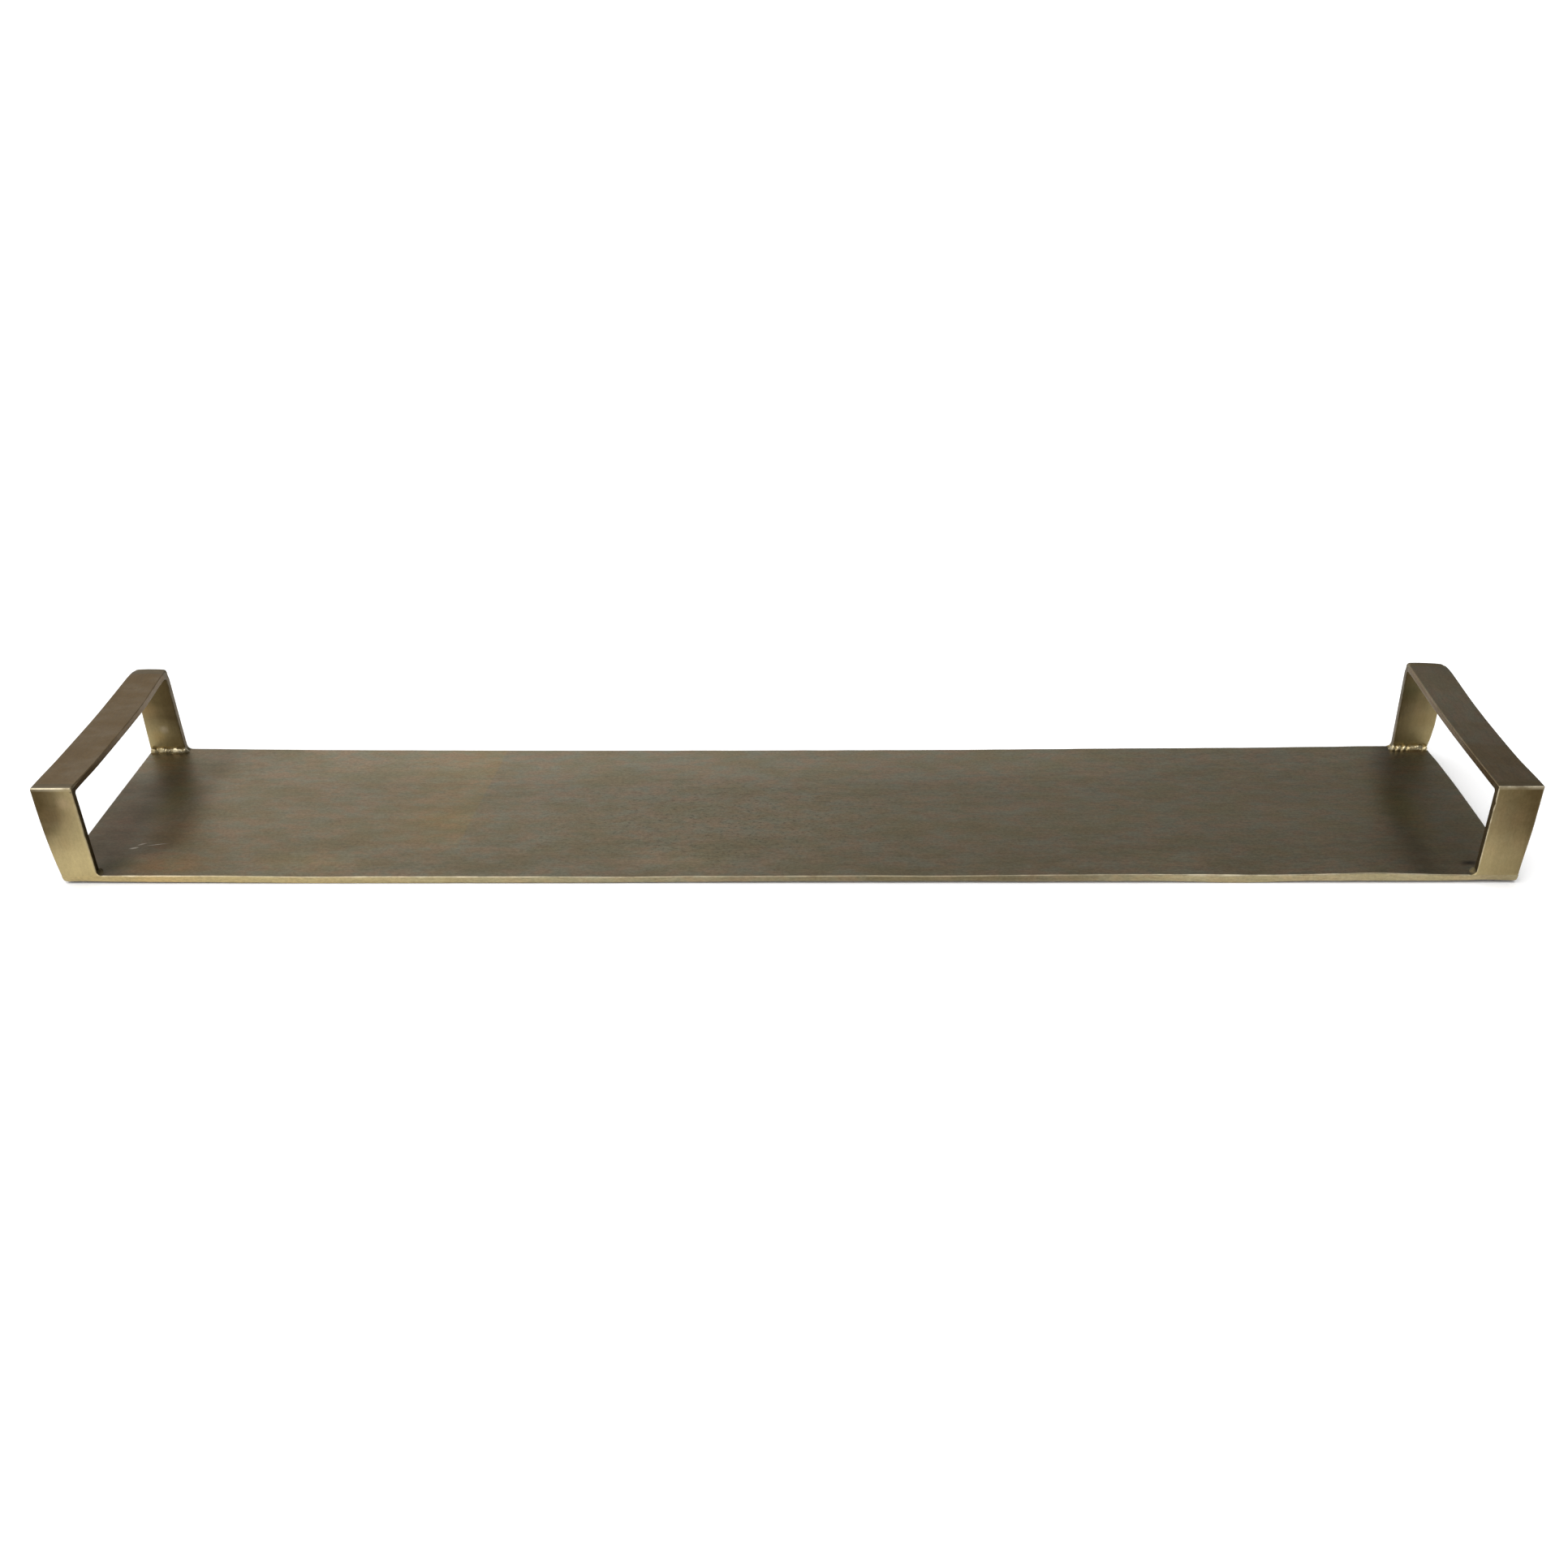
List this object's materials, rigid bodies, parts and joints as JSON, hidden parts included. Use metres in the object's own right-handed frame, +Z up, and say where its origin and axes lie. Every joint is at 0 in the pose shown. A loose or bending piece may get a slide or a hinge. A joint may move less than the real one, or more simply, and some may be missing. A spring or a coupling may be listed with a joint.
{
  "type": "serving tray",
  "caption": "Long, narrow flat brass tray with an upright rectangular bridge handle of flat bar welded across each end.",
  "frame": {"origin": "centre of the base plate's underside", "axes": "+X along the tray towards its right handle, +Z up, and the front edge is at -Y"},
  "size_m": [0.8, 0.145, 0.06],
  "materials": {
    "patinated_plate": "satin antique brass, brushed along the tray, with grey and olive streaks",
    "handle_bar": "satin antique brass, brushed along the bar, rubbed pale along its arrises",
    "ground_weld": "ground flush and brushed, slightly paler than the bars",
    "bead_weld": "lumpy and bright, pale gold"
  },
  "bodies": {
    "root": {"base_plate": "patinated_plate", "left_front_leg": "handle_bar", "left_rear_leg": "handle_bar", "left_grip_bar": "handle_bar", "right_front_leg": "handle_bar", "right_rear_leg": "handle_bar", "right_grip_bar": "handle_bar", "left_front_corner_weld": "ground_weld", "left_rear_corner_weld": "ground_weld", "right_front_corner_weld": "ground_weld", "right_rear_corner_weld": "ground_weld", "left_front_root_weld": "bead_weld", "left_rear_root_weld": "bead_weld", "right_front_root_weld": "bead_weld", "right_rear_root_weld": "bead_weld"}
  },
  "joints": []
}
